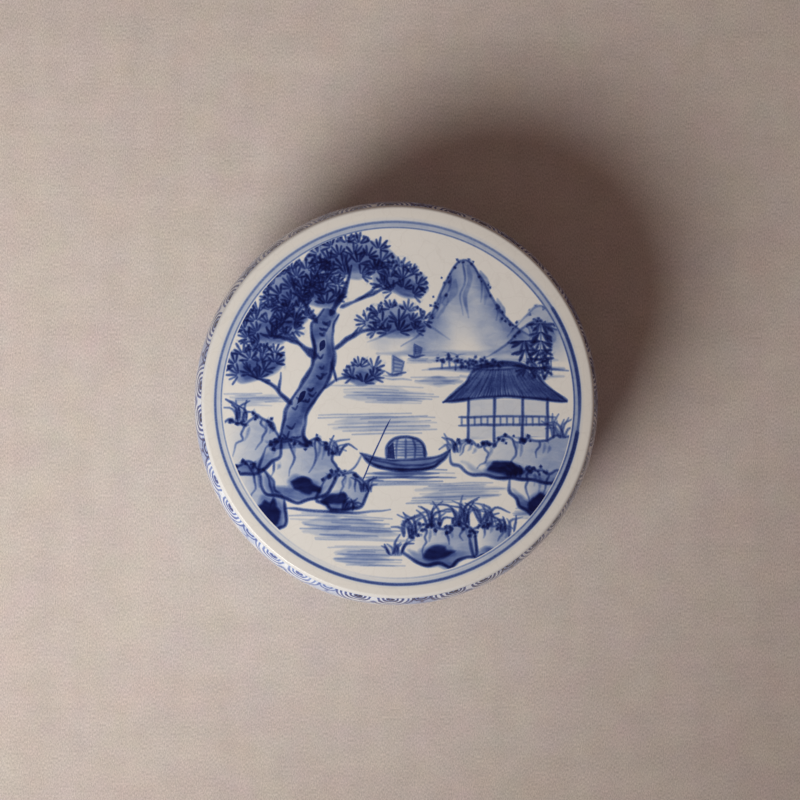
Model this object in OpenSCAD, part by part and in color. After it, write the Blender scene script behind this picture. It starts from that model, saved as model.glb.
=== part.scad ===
// Round porcelain box for seal paste. The lid seats over an upstanding inner rim of the box,
// and one swelling wall runs from the box's foot, over the seam, to the rim of the lid's flat top.
// Millimetres. +Z is up, and the origin is the centre of the foot, on the table.

/* [Outside] */
// Widest diameter, at the seam where the lid meets the box
seam_d = 80; // [60:1:110]
// Height of the seam above the table
seam_h = 19; // [16:0.5:32]
// Height of the lid above the seam, at its centre
lid_h = 15; // [13:0.5:24]
// How far the wall leans in, in degrees, where it meets the lid's rim and the box's turn
wall_lean = 17; // [4:1:24]
// Rounding of the rim round the lid's top
rim_round = 0.8; // [0.6:0.1:4]
// Rise of the lid's top from its rim to its centre
top_rise = 0.8; // [0.2:0.1:2]
// Rounding of the turn from the box's wall into its underside
turn_round = 7.5; // [4:0.5:10]
// Rounding of the two edges that meet at the seam
seam_round = 0.4; // [0.1:0.1:1]

/* [Foot] */
// Height of the foot ring below the box's underside
foot_h = 2.2; // [1:0.1:4]
// Width of the foot ring at its root
foot_w = 3.2; // [2.4:0.1:6]
// How far each side of the foot ring tapers in towards the table
foot_taper = 0.4; // [0:0.1:0.8]
// Rounding of the foot ring's edges on the table
foot_round = 0.4; // [0.1:0.1:0.6]
// Width of the flat between the foot ring's root fillet and the turn
foot_flat = 1; // [0.2:0.1:4]
// Fillet at the root of the foot ring
foot_fillet = 0.8; // [0.2:0.1:1]
// Height above the table of the recessed underside inside the foot ring
recess_h = 1.7; // [0.8:0.1:2.2]

/* [Walls] */
// Thickness of the lid's wall at the seam
lid_wall = 2.8; // [2:0.1:5]
// Thickness of the lid's top
lid_top = 3; // [2:0.1:4.5]
// Rounding of the corner between the lid's wall and its ceiling, inside
lid_corner = 4; // [1:0.5:5]
// Thickness of the box's floor
floor_t = 3.2; // [2:0.1:6]
// Rounding of the corner between the box's wall and its floor, inside
cavity_corner = 8; // [3:0.5:12]

/* [Seat] */
// Height of the inner rim above the seam
seat_h = 4.5; // [2:0.5:6]
// Thickness of the inner rim
seat_t = 2; // [1.4:0.1:4]
// Gap all round between the inner rim and the lid
seat_gap = 0.4; // [0.2:0.05:1]
// Rounding of the inner rim's two top edges
seat_round = 0.6; // [0.1:0.1:0.7]
// Room above the inner rim before the lid's bore begins to lean in
seat_room = 0.8; // [0.4:0.1:1.5]
// Chamfer at the mouth of the lid's bore
bore_chamfer = 0.4; // [0.1:0.1:1]

/* [Seal paste] */
// Height of the mound above the box's floor, at its centre
paste_h = 12; // [7:0.5:16]
// Rise of the mound from its shoulder to its centre
paste_rise = 2.5; // [0.5:0.5:4]
// Rounding of the mound's shoulder
paste_round = 2.5; // [1:0.5:3]
// Gap between the paste and the wall of the box
paste_gap = 0.3; // [0.2:0.05:1]

/* [Hidden] */

porcelain = [0.90, 0.88, 0.85];
cinnabar = [0.70, 0.07, 0.04];

$fn = 128;
edge_steps = 4;
rim_steps = 12;
wall_steps = 16;

seam_r = seam_d / 2;
bore_r = seam_r - lid_wall;
seat_r = bore_r - seat_gap;
cavity_r = seat_r - seat_t;
seat_top_z = seam_h + seat_h;
floor_z = recess_h + floor_t;
lid_top_z = seam_h + lid_h;

// The box's wall is one arc, upright at the seam and leaning by wall_lean where the turn begins
wall_h = seam_h - seam_round - foot_h - turn_round * (1 - sin(wall_lean));
turn_x = seam_r - drawn_in(wall_h) - turn_round * cos(wall_lean);
foot_r = turn_x - foot_flat - foot_fillet;

// Points along an arc about (x, z) from one angle to another, leaving out the first `skip`
function arc(x, z, r, from, to, steps, skip = 0) =
    [for (i = [skip:steps]) let (a = from + (to - from) * i / steps) [x + r * cos(a), z + r * sin(a)]];

// Radius of an upright arc that leans by wall_lean at the height h, and how far it draws in there
function wall_arc_r(h) = h / sin(wall_lean);
function drawn_in(h) = h * tan(wall_lean / 2);

// A rounded rim about (x, z), from the angle `from`, and the shallow dome that it meets, to the axis
function rim_and_dome(x, z, r, from, rise) =
    let (
        dome_less_rim = (x * x + rise * rise) / (2 * rise),
        meet = acos(x / dome_less_rim)
    )
    concat(
        arc(x, z, r, from, meet, rim_steps, 1),
        arc(0, z + rise - dome_less_rim, dome_less_rim + r, meet, 90, wall_steps, 1)
    );

// A leaning wall from (r, z) with its rim and dome, h high in all at the axis
function domed_wall(r, z, h, rim_r, rise) =
    let (
        upright = h - rise - rim_r * (1 - sin(wall_lean)),
        arc_r = wall_arc_r(upright)
    )
    concat(
        arc(r - arc_r, z, arc_r, 0, wall_lean, wall_steps),
        rim_and_dome(r - drawn_in(upright) - rim_r * cos(wall_lean), z + h - rise - rim_r, rim_r, wall_lean, rise)
    );

function reversed(points) = [for (i = [len(points) - 1:-1:0]) points[i]];

// The hollow of the box, or what fills it, from the floor's centre up to radius r at z_top
function bowl(r, z_top) =
    concat(
        [[0, floor_z]],
        arc(r - cavity_corner, floor_z + cavity_corner, cavity_corner, -90, 0, rim_steps),
        [[r, z_top]]
    );

// Underside, from the axis over the foot ring and its root fillet
foot_outline = concat(
    [[0, recess_h], [foot_r - foot_w, recess_h]],
    arc(foot_r - foot_w + foot_taper + foot_round, foot_round, foot_round, 180, 270, edge_steps),
    arc(foot_r - foot_taper - foot_round, foot_round, foot_round, 270, 360, edge_steps),
    arc(foot_r + foot_fillet, foot_h - foot_fillet, foot_fillet, 180, 90, edge_steps)
);

// The turn, the wall up to the seam, the seat for the lid and the inner rim
wall_outline = concat(
    arc(turn_x, foot_h + turn_round, turn_round, -90, -wall_lean, rim_steps),
    arc(seam_r - wall_arc_r(wall_h), seam_h - seam_round, wall_arc_r(wall_h), -wall_lean, 0, wall_steps, 1),
    arc(seam_r - seam_round, seam_h - seam_round, seam_round, 0, 90, edge_steps, 1),
    [[seat_r, seam_h]],
    arc(seat_r - seat_round, seat_top_z - seat_round, seat_round, 0, 90, edge_steps),
    arc(cavity_r + seat_round, seat_top_z - seat_round, seat_round, 90, 180, edge_steps)
);

module box_base() {
    color(porcelain)
        rotate_extrude()
            polygon(concat(foot_outline, wall_outline, reversed(bowl(cavity_r, seam_h))));
}

module lid() {
    bore_top_z = seat_top_z + seat_room;
    outside = domed_wall(seam_r, seam_h + seam_round, lid_h - seam_round, rim_round, top_rise);
    hollow = domed_wall(bore_r, bore_top_z, lid_top_z - lid_top - bore_top_z, lid_corner, top_rise);
    mouth = [[bore_r, seam_h + bore_chamfer], [bore_r + bore_chamfer, seam_h]];
    lower_edge = arc(seam_r - seam_round, seam_h + seam_round, seam_round, -90, 0, edge_steps);
    color(porcelain)
        rotate_extrude()
            polygon(concat(mouth, lower_edge, [for (i = [1:len(outside) - 1]) outside[i]], reversed(hollow)));
}

// The mound fills the lower part of the hollow, a small gap off its wall
module seal_paste() {
    mound_r = cavity_r - paste_gap;
    shoulder_x = mound_r - paste_round;
    shoulder_z = floor_z + paste_h - paste_rise - paste_round;
    color(cinnabar)
        intersection() {
            rotate_extrude()
                polygon(concat(bowl(mound_r, seat_top_z), [[0, seat_top_z]]));
            rotate_extrude()
                polygon(concat(
                    [[0, 0], [mound_r, 0], [mound_r, shoulder_z]],
                    rim_and_dome(shoulder_x, shoulder_z, paste_round, 0, paste_rise)
                ));
        }
}

box_base();
lid();
seal_paste();
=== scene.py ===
"""Looks of a round blue-and-white porcelain box for seal paste.

The three turned pieces are rebuilt from the outlines of their solids. Cobalt brushwork is drawn as
strokes on flat sheets in millimetres, each sheet is cut into triangles along its strokes, and the
sheets are laid over the lid's top and the two walls. How dense the cobalt lies is kept at each
vertex, and the glaze's material turns it into colour.
"""
import math

import bpy
import numpy as np
from mathutils import Matrix, Vector
from mathutils.geometry import delaunay_2d_cdt


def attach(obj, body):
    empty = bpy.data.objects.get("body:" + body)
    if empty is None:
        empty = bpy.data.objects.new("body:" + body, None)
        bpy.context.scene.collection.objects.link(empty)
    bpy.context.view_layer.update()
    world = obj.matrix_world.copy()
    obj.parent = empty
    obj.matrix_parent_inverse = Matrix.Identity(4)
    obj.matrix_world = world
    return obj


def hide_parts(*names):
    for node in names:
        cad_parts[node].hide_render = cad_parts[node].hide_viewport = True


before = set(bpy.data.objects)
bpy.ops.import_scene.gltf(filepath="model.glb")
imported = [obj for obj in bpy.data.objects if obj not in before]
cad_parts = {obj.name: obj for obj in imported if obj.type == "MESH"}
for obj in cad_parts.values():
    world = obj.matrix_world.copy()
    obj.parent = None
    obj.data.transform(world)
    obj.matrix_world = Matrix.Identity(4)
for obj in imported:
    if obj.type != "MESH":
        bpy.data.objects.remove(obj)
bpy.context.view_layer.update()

MM = 0.001
TURN = 2 * math.pi
AROUND = 288  # steps round each turned piece
PITCH = 0.9  # between the loose points of a sheet's mesh, in millimetres
ROW_SHARE = 0.866  # the distance between two rows of those points, as a share of the pitch
WELD = 0.004  # points of a sheet closer than this are joined, in millimetres
HAIR = 1e-3  # closer than this counts as the same place, in millimetres
CREASE = 32  # corners of an outline sharper than this keep their edge, in degrees

# The lid's top, in millimetres from its centre
RING_R = 35.17
PICTURE_R = 33.75
TOP_SHEET_R = 36.3

# The borders round the two walls, in millimetres
WALL_R = 39.2  # radius at which a wall's sheet is as long as the wall is round
WALL_LONG = TURN * WALL_R
UNITS = 13
UNIT_HIGH = 10.6  # height that one unit of the border is drawn for
LID_BORDER_HIGH = 10.6
BOX_BORDER_HIGH = 11.2
LID_BORDER_LEAN = 17.6  # lean of the wall, in degrees, at each border's edge
BOX_BORDER_LEAN = -44
PALE_AT = 3.90  # where round the wall the border's ink is made paler, in radians
DARK_AT = 4.95  # where round the wall it is made darker

# Light and camera, as in the photo: metres, degrees, millimetres for what they aim at, watts
KEY_AZIMUTH = 226
KEY_ELEVATION = 41
KEY_AWAY = 0.40
KEY_SIZE = 0.24
KEY_AIM = (-40, 130, 0)
KEY_SPREAD = 88.7
KEY_WATTS = 0.518
KEY_COLOUR = (1, 0.962, 0.915)
ROOM_COLOUR = (1, 0.640, 0.540, 1)
ROOM_LIGHT = 0.155
CAMERA_AIM = (0.27, 0.235, 34.0)
CAMERA_AZIMUTH = 220
CAMERA_TILT = 2.6
CAMERA_AWAY = 0.465
CAMERA_LENS = 108.5

rng = np.random.default_rng(11)


# Outlines of the turned solids

class Outline:
    """The half outline of a turned solid in millimetres, from its higher end on the axis, outward
    and down, and back under to the lower end."""

    def __init__(self, node):
        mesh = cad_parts[node].data
        co = np.empty(len(mesh.vertices) * 3)
        mesh.vertices.foreach_get("co", co)
        co = co.reshape(-1, 3) / MM
        cut = np.flatnonzero((np.abs(co[:, 1]) < HAIR) & (co[:, 0] > -HAIR))
        key = {int(i): (round(co[i, 0], 3), round(co[i, 2], 3)) for i in cut}
        links = {}
        for edge in mesh.edges:
            a, b = (key.get(v) for v in edge.vertices)
            if a and b and a != b:
                links.setdefault(a, set()).add(b)
                links.setdefault(b, set()).add(a)
        ends = [k for k in links if len(links[k]) == 1]
        chain = [max(ends, key=lambda k: k[1])]
        while fresh := links[chain[-1]] - set(chain):
            chain.append(fresh.pop())
        if chain[0][0] > 0:
            chain.insert(0, (0.0, chain[0][1]))
        if chain[-1][0] > 0:
            chain.append((0.0, chain[-1][1]))
        self.p = np.array(chain)
        step = np.diff(self.p, axis=0)
        length = np.hypot(*step.T)
        self.s = np.concatenate([[0], np.cumsum(length)])
        self.side = np.stack([-step[:, 1], step[:, 0]], 1) / length[:, None]
        self.n_before, self.n_after = self._corner_normals()

    def _corner_normals(self):
        """The outward normal at each point, as the piece before it and the piece after it see it."""
        before = np.vstack([self.side[:1], self.side])
        after = np.vstack([self.side, self.side[-1:]])
        smooth = (before * after).sum(1) > math.cos(math.radians(CREASE))
        mean = before + after
        mean /= np.maximum(np.hypot(*mean.T), 1e-9)[:, None]
        before[smooth] = mean[smooth]
        after[smooth] = mean[smooth]
        for row in (before, after):
            row[0], row[-1] = (0, 1), (0, -1)
        return before, after

    def at(self, s):
        """Points and normals at the lengths s along the outline."""
        i = np.clip(np.searchsorted(self.s, s, side="right") - 1, 0, len(self.s) - 2)
        t = ((s - self.s[i]) / (self.s[i + 1] - self.s[i]))[:, None]
        point = self.p[i] * (1 - t) + self.p[i + 1] * t
        normal = self.n_after[i] * (1 - t) + self.n_before[i + 1] * t
        return point, normal / np.hypot(*normal.T)[:, None]

    def s_of_widest(self):
        return self.s[np.argmax(self.p[:, 0])]

    def s_where_lean(self, degrees, after):
        """Where, beyond the length after, the normal first drops below this angle over the horizontal."""
        lean = np.degrees(np.arctan2(self.side[:, 1], self.side[:, 0]))
        mid = (self.s[1:] + self.s[:-1]) / 2
        return self.s[np.flatnonzero((lean < degrees) & (mid > after) & (np.abs(lean) < 90))[0]]


# Meshes put together from patches

def add_object(name, data):
    made = bpy.data.objects.new(name, data)
    bpy.context.scene.collection.objects.link(made)
    return made


def smooth_mesh(name, points, faces, material):
    """A smooth mesh from points in millimetres."""
    mesh = bpy.data.meshes.new(name)
    mesh.from_pydata((points * MM).tolist(), [], faces)
    mesh.polygons.foreach_set("use_smooth", np.ones(len(faces), bool))
    mesh.materials.append(material)
    return mesh


def set_bake_map(mesh, uv):
    """Sets the place in the bake map for each corner of each face."""
    mesh.uv_layers.new(name="OFBake").data.foreach_set("uv", uv.astype(np.float32).ravel())


def set_value(mesh, name, value):
    mesh.attributes.new(name, "FLOAT", "POINT").data.foreach_set("value", value.astype(np.float32))


class Shell:
    """Patches of triangles, each with its own normals, bake map and values, welded into one mesh."""

    def __init__(self):
        self.parts = []

    def add(self, points, normals, triangles, uv, **values):
        self.parts.append((points, normals, np.asarray(triangles), uv, values))

    def build(self, name, material):
        offset, tris = 0, []
        for points, _, triangles, _, _ in self.parts:
            tris.append(triangles + offset)
            offset += len(points)
        points, normals, uv = (np.vstack([part[k] for part in self.parts]) for k in (0, 1, 3))
        corners = np.vstack(tris)
        _, first, weld = np.unique(np.round(points, 4), axis=0, return_index=True, return_inverse=True)
        weld = weld.ravel()
        face = weld[corners]
        whole = (face[:, 0] != face[:, 1]) & (face[:, 1] != face[:, 2]) & (face[:, 2] != face[:, 0])
        mesh = smooth_mesh(name, points[first], face[whole].tolist(), material)
        flat = corners[whole].ravel()
        set_bake_map(mesh, uv[flat])
        for key in sorted({k for part in self.parts for k in part[4]}):
            held = np.zeros(len(first))
            np.maximum.at(held, weld, np.concatenate([
                np.broadcast_to(part[4].get(key, 0.0), len(part[0])) for part in self.parts]))
            set_value(mesh, key, held)
        mesh.normals_split_custom_set(normals[flat].tolist())
        return add_object(name, mesh)


def polar(r, theta):
    return np.stack([r * np.cos(theta), r * np.sin(theta)], 1)


def circle(steps):
    """The angles of steps points round a circle."""
    return np.linspace(0, TURN, steps, endpoint=False)


def turned(radial, theta):
    """Points or normals at the angles theta, from pairs of distance off the axis and height."""
    return np.stack([radial[:, 0] * np.cos(theta), radial[:, 0] * np.sin(theta), radial[:, 1]], 1)


def lathe(shell, outline, s_from, s_to, place, **values):
    """The stretch of the outline between two lengths, turned once round."""
    tiny = 1e-6
    inner = outline.s[(outline.s > s_from + tiny) & (outline.s < s_to - tiny)]
    rows = np.concatenate([[s_from], inner, [s_to]])
    theta = np.tile(np.linspace(0, TURN, AROUND + 1), 2)
    low = np.arange(AROUND)
    high = low + AROUND + 1
    tris = np.vstack([np.stack([low, high, high + 1], 1), np.stack([low, high + 1, low + 1], 1)])
    for a, b in zip(rows[:-1], rows[1:]):
        point = outline.at(np.array([a, b]))[0]
        normal = outline.at(np.array([a + tiny, b - tiny]))[1]
        s, point, normal = (np.repeat(pair, AROUND + 1, 0) for pair in (np.array([a, b]), point, normal))
        shell.add(turned(point, theta), turned(normal, theta), tris, place(theta, s),
                  **{k: f(s) for k, f in values.items()})


def disc_place(u, v, scale, s_centre):
    """Bake map of a disc: the distance from its middle is the length along the outline."""
    return lambda theta, s: (u, v) + polar(np.abs(s - s_centre) * scale, theta)


# Brushwork on a flat sheet

TREMOR_STEPS = 4  # points of a stroke from one wander of the hand to the next
INK_TREMOR = 0.12  # how much the ink wanders along a stroke, as a share
FINEST = 0.03  # half the width of the finest line, in millimetres
DAB_EDGE = 0.40  # width of the soft edge of a dab or a dot, in millimetres
DAB_SHARES = (0, 0.3, 0.65, 0.9, 1.0)
DAB_WIDTHS = (0.18, 0.55, 1.0, 0.8, 0.35)
REACH_EDGE = 0.1  # width of the soft edge where a sheet's strokes end, in millimetres
BLOCK = 4000  # places worked out at once
DECIMALS = 6  # kept of how dense the cobalt lies, so that rounding can't differ from run to run


def curve(points, step=0.5):
    """A smooth line through the points, with a point about every step."""
    def count(a, b):
        return max(2, int(np.hypot(*(b - a)) / step) + 1)

    p = np.asarray(points, float)
    if len(p) < 3:
        return p[0] + (p[-1] - p[0]) * np.linspace(0, 1, count(p[0], p[-1]))[:, None]
    p = np.vstack([2 * p[0] - p[1], p, 2 * p[-1] - p[-2]])
    out = []
    for a, b, c, d in zip(p, p[1:], p[2:], p[3:]):
        t = np.linspace(0, 1, count(b, c), endpoint=False)[:, None]
        out.append(0.5 * (2 * b + (c - a) * t + (2 * a - 5 * b + 4 * c - d) * t ** 2
                          + (3 * b - a - 3 * c + d) * t ** 3))
    return np.vstack(out + [p[-2:-1]])


def along(u, values):
    """One value, or several spread evenly along a stroke, read at the shares u of its length."""
    return np.interp(u, np.linspace(0, 1, np.size(values)), np.ravel(values))


def hand(n, size):
    """n values that wander smoothly about 0, like a hand's small tremor."""
    knots = rng.normal(0, size, max(3, n // TREMOR_STEPS + 3))
    return np.interp(np.linspace(0, len(knots) - 1, n), np.arange(len(knots)), knots)


def near(at, points, reach):
    """Which of the places at lie in the box round the points, widened by reach."""
    return np.flatnonzero(((at > points.min(0) - reach) & (at < points.max(0) + reach)).all(1))


class Sheet:
    """A flat sheet of brush strokes in millimetres, in two layers: line and wash. Strokes and fills
    end at the radius reach, if it has one, and rings don't."""

    def __init__(self, reach=None):
        self.strokes, self.fills, self.rings = [], [], []
        self.reach = reach

    def line(self, points, width=0.3, ink=3.0, tips=(0.15, 0.25), step=0.5, edge=0.46, shake=0.04,
             layer="line", smooth=True):
        """A stroke of the brush, thinning to a point over its tips. width and ink are one value each,
        or several values spread along the stroke."""
        path = curve(points, step) if smooth else np.asarray(points, float)
        n = len(path)
        u = np.linspace(0, 1, n)
        half = along(u, width) / 2
        if tips[0]:
            half = half * np.clip(u / tips[0], 0.12, 1) ** 0.7
        if tips[1]:
            half = half * np.clip((1 - u) / tips[1], 0.08, 1) ** 0.7
        if n > 3 and shake:
            half = half * (1 + hand(n, 2.2 * shake))
            path = path + np.stack([hand(n, shake), hand(n, shake)], 1)
        dense = along(u, ink)
        if n > 3:
            dense = dense * (1 + hand(n, INK_TREMOR))
        self.strokes.append((path, np.maximum(half, FINEST), np.maximum(dense, 0), edge, layer))

    def dab(self, x, y, angle, length, width, ink):
        """One press of the brush's tip: a drop that starts fine and ends round."""
        path = (x, y) + np.outer(np.array(DAB_SHARES) * length, (math.cos(angle), math.sin(angle)))
        half = width / 2 * np.array(DAB_WIDTHS)
        self.strokes.append((path, half, np.full(len(path), ink * rng.uniform(0.8, 1.15)), DAB_EDGE, "line"))

    def dot(self, x, y, r, ink):
        a = rng.uniform(0, TURN)
        path = (x, y) + np.outer((-1, 1), (r * 0.2 * math.cos(a), r * 0.2 * math.sin(a)))
        self.strokes.append((path, np.full(2, r * 0.8), np.full(2, ink), DAB_EDGE, "line"))

    def wash(self, points, width, ink, tips, edge=0.55, step=1.0, shake=0.12):
        self.line(points, width, ink, tips, step, edge, shake, "wash")

    def fill(self, points, ink, layer, edge, shade=None, step=0.5, smooth=True):
        """An area filled with colour. shade(x, y) from 0 up says how dense it lies."""
        loop = np.asarray(points, float)
        if smooth:
            loop = curve(np.vstack([loop, loop[:1]]), step)[:-1]
        self.fills.append((loop, ink, edge, layer, shade))

    def ring(self, radius, half, ink, edge, layer="line"):
        """A circle about the sheet's middle, with each value a function of the angle."""
        self.rings.append((radius, half, ink, edge, layer))

    def _outlines(self):
        """Closed lines to cut the sheet along: both sides of each soft edge."""
        for path, half, _, edge, _ in self.strokes:
            ahead = np.gradient(path, axis=0)
            ahead /= np.maximum(np.hypot(*ahead.T), 1e-9)[:, None]
            across = np.stack([-ahead[:, 1], ahead[:, 0]], 1)
            for reach in (half + edge / 2, np.maximum(half - edge / 2, 0.3 * half)):
                left, right = path + across * reach[:, None], path - across * reach[:, None]
                head, tail = path[:1] - ahead[:1] * reach[0], path[-1:] + ahead[-1:] * reach[-1]
                yield np.vstack([head, left, tail, right[::-1]])
        for loop, _, edge, _, _ in self.fills:
            ahead = np.roll(loop, -1, 0) - np.roll(loop, 1, 0)
            across = np.stack([-ahead[:, 1], ahead[:, 0]], 1)
            across /= np.maximum(np.hypot(*ahead.T), 1e-9)[:, None]
            yield loop + across * edge / 2
            yield loop - across * edge / 2
        theta = circle(2 * AROUND)
        if self.reach:
            for r in (self.reach - REACH_EDGE / 2, self.reach + REACH_EDGE / 2):
                yield polar(r, theta)
        for radius, half, _, edge, _ in self.rings:
            for side in (-1, 1):
                for soft in (-0.5, 0.5):
                    yield polar(radius(theta) + side * (half(theta) + soft * edge), theta)

    def cut(self, border, grid, keep):
        """Triangulates the sheet. border and grid are extra points, and border is a closed loop."""
        points, edges, n = [], [], 0
        for loop in (border, *self._outlines()):
            k = np.arange(len(loop)) + n
            edges.append(np.stack([k, np.roll(k, -1)], 1))
            points.append(loop)
            n += len(loop)
        points.append(grid)
        flat = [Vector(p) for p in np.vstack(points)]
        out = delaunay_2d_cdt(flat, np.vstack(edges).tolist(), [], 0, WELD, False)
        where = np.array([v[:] for v in out[0]])
        tris = np.array([f for f in out[2] if len(f) == 3])
        return where, tris[keep(where[tris].mean(1))]

    def dense(self, at):
        """How dense each layer lies at these places."""
        layers = {"line": np.zeros(len(at)), "wash": np.zeros(len(at))}
        for path, half, ink, edge, layer in self.strokes:
            here = near(at, path, half.max() + edge)
            layers[layer][here] += self._stroke_ink(at[here], path, half, ink, edge) ** 2
        for loop, ink, edge, layer, shade in self.fills:
            here = near(at, loop, edge)
            value = ink * np.clip(0.5 - polygon_distance(at[here], loop) / edge, 0, 1)
            if shade:
                value = value * shade(*at[here].T)
            layers[layer][here] += value ** 2
        r, theta = np.hypot(*at.T), np.arctan2(at[:, 1], at[:, 0])
        if self.reach:
            kept = np.clip(0.5 - (r - self.reach) / REACH_EDGE, 0, 1) ** 2
            layers = {k: v * kept for k, v in layers.items()}
        for radius, half, ink, edge, layer in self.rings:
            off = np.abs(r - radius(theta)) - half(theta)
            layers[layer] += (ink(theta) * np.clip(0.5 - off / edge, 0, 1)) ** 2
        return {k: np.sqrt(v).round(DECIMALS) for k, v in layers.items()}

    @staticmethod
    def _stroke_ink(at, path, half, ink, edge):
        a, step = path[:-1], np.diff(path, axis=0)
        size = np.maximum((step ** 2).sum(1), 1e-12)
        out = np.empty(len(at))
        for k in range(0, len(at), BLOCK):
            p = at[k:k + BLOCK, None, :]
            t = np.clip(((p - a) * step).sum(2) / size, 0, 1)
            off = np.hypot(*np.moveaxis(p - a - step * t[:, :, None], 2, 0))
            off = off - (half[:-1] * (1 - t) + half[1:] * t)
            best = off.argmin(1)
            row = np.arange(len(best))
            tb = t[row, best]
            dense = ink[best] * (1 - tb) + ink[best + 1] * tb
            out[k:k + BLOCK] = dense * np.clip(0.5 - off[row, best] / edge, 0, 1)
        return out


def polygon_distance(at, loop):
    """Distance from each point to the loop's edge, below 0 inside."""
    a, b = loop, np.roll(loop, -1, 0)
    step = b - a
    size = np.maximum((step ** 2).sum(1), 1e-12)
    inside = np.zeros(len(at), bool)
    best = np.full(len(at), np.inf)
    for p, q, d, n in zip(a, b, step, size):
        t = np.clip(((at - p) @ d) / n, 0, 1)
        best = np.minimum(best, np.hypot(*(at - p - t[:, None] * d).T))
        crosses = (p[1] > at[:, 1]) != (q[1] > at[:, 1])
        with np.errstate(divide="ignore", invalid="ignore"):
            cut_x = d[0] * (at[:, 1] - p[1]) / d[1] + p[0]
        inside ^= crosses & (at[:, 0] < cut_x)
    return np.where(inside, -best, best)


def hex_grid(low, high):
    """Points of even triangles, PITCH apart."""
    out = []
    for i, y in enumerate(np.arange(low[1], high[1], PITCH * ROW_SHARE)):
        x = np.arange(low[0] + (i % 2) * PITCH / 2, high[0], PITCH)
        out.append(np.stack([x, np.full(len(x), y)], 1))
    return np.vstack(out)


# The picture on the lid: a broad tree on a rocky bank, far peaks, a moored boat and a thatched shed

FAN_LEAVES = 6
FAN_SPREAD = 1.2  # how far a fan's outer leaves turn from its middle, in radians
LEAF_SIZE = 2.2  # length of a leaf, in millimetres
LEAF_INK = 3.9
LEAF_PITCH = 2.0  # least distance from one fan to the next, in millimetres
BLOB_POINTS = 14
ROCK_LINE = 0.36  # width of a boulder's contour, in millimetres


def fan(sheet, x, y, heading, size, ink):
    """Slim leaves that spread from one point, the middle ones longest."""
    for k in range(FAN_LEAVES):
        off = 2 * k / (FAN_LEAVES - 1) - 1
        angle = heading + FAN_SPREAD * off + rng.normal(0, 0.08)
        length = size * rng.uniform(0.85, 1.15) * (1 - 0.2 * abs(off))
        sheet.dab(x + 0.22 * size * math.cos(angle), y + 0.22 * size * math.sin(angle), angle, length,
                  0.36 * rng.uniform(0.85, 1.2), ink * rng.uniform(0.85, 1.1))


def tilted(x, y, u, v, tilt):
    """The point u, v of a shape whose middle is at x, y, turned by tilt."""
    c, s = math.cos(tilt), math.sin(tilt)
    return x + u * c - v * s, y + u * s + v * c


def moved(x, y, *points):
    return [(x + u, y + v) for u, v in points]


def blob(x, y, wide, high, tilt, bumps=0.13):
    """A rough oval as a closed loop."""
    a = circle(BLOB_POINTS)
    r = 1 + rng.normal(0, bumps, BLOB_POINTS)
    return np.stack(tilted(x, y, wide * r * np.cos(a), high * r * np.sin(a), tilt), 1)


def leafy(sheet, x, y, wide, high, tilt):
    """A clump of leaves: two washes, and fans over them that open upward and outward, with dots above."""
    sheet.fill(blob(x, y + 0.02 * high, 1.12 * wide, 1.2 * high, tilt, 0.09), 1.2, "wash", 0.5)
    sheet.fill(blob(x + 0.05 * wide, y - 0.2 * high, 0.84 * wide, 0.76 * high, tilt), 1.9, "wash", 0.8)
    placed = []
    for _ in range(900):
        r, a = math.sqrt(rng.uniform(0, 1)), rng.uniform(0, TURN)
        px, py = tilted(x, y, wide * r * math.cos(a), high * r * math.sin(a), tilt)
        if all((px - q[0]) ** 2 + ((py - q[1]) * 1.25) ** 2 > LEAF_PITCH ** 2 for q in placed):
            placed.append((px, py, r))
    for px, py, r in placed:
        heading = math.atan2(py - y + 1.2 * high, (px - x) * 1.1) + rng.normal(0, 0.2)
        size = LEAF_SIZE * rng.uniform(0.85, 1.1) * (1 - 0.12 * r)
        fan(sheet, px, py, heading, size, LEAF_INK * rng.uniform(0.8, 1.1))
    for _ in range(int(3.2 * wide)):
        a = rng.uniform(0.1, math.pi - 0.1)
        u, v = wide * 1.14 * math.cos(a), (high + 1.0) * math.sin(a) + rng.normal(0, 0.3)
        sheet.dot(*tilted(x, y, u, v, tilt), 0.3, 3.6)


def grass(sheet, x, y, count, spread, height, lean, ink=3.0, width=0.34):
    """Blades that spring from near one point."""
    for _ in range(count):
        x0 = x + rng.uniform(-spread, spread) * 0.5
        tilt = lean + rng.normal(0, 0.4)
        h = height * rng.uniform(0.55, 1.1)
        bend = rng.normal(0.3, 0.25) * math.copysign(1, tilt)
        x1, y1 = x0 + 0.5 * h * math.sin(tilt), y + 0.6 * h
        x2, y2 = x0 + h * math.sin(tilt + bend), y + h * math.cos(tilt + bend * 0.6)
        sheet.line([(x0, y), (x1, y1), (x2, y2)], width, ink * rng.uniform(0.75, 1.2), (0.1, 0.6), 0.7)


def moss(sheet, points, count, spread, r, ink=3.8):
    """Dots dropped along a line of rock or ridge."""
    path = curve(points, 0.4)
    for _ in range(count):
        x, y = path[rng.integers(len(path))]
        sheet.dot(x + rng.normal(0, spread), y + rng.normal(0, spread), r * rng.uniform(0.6, 1.25), ink)


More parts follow.
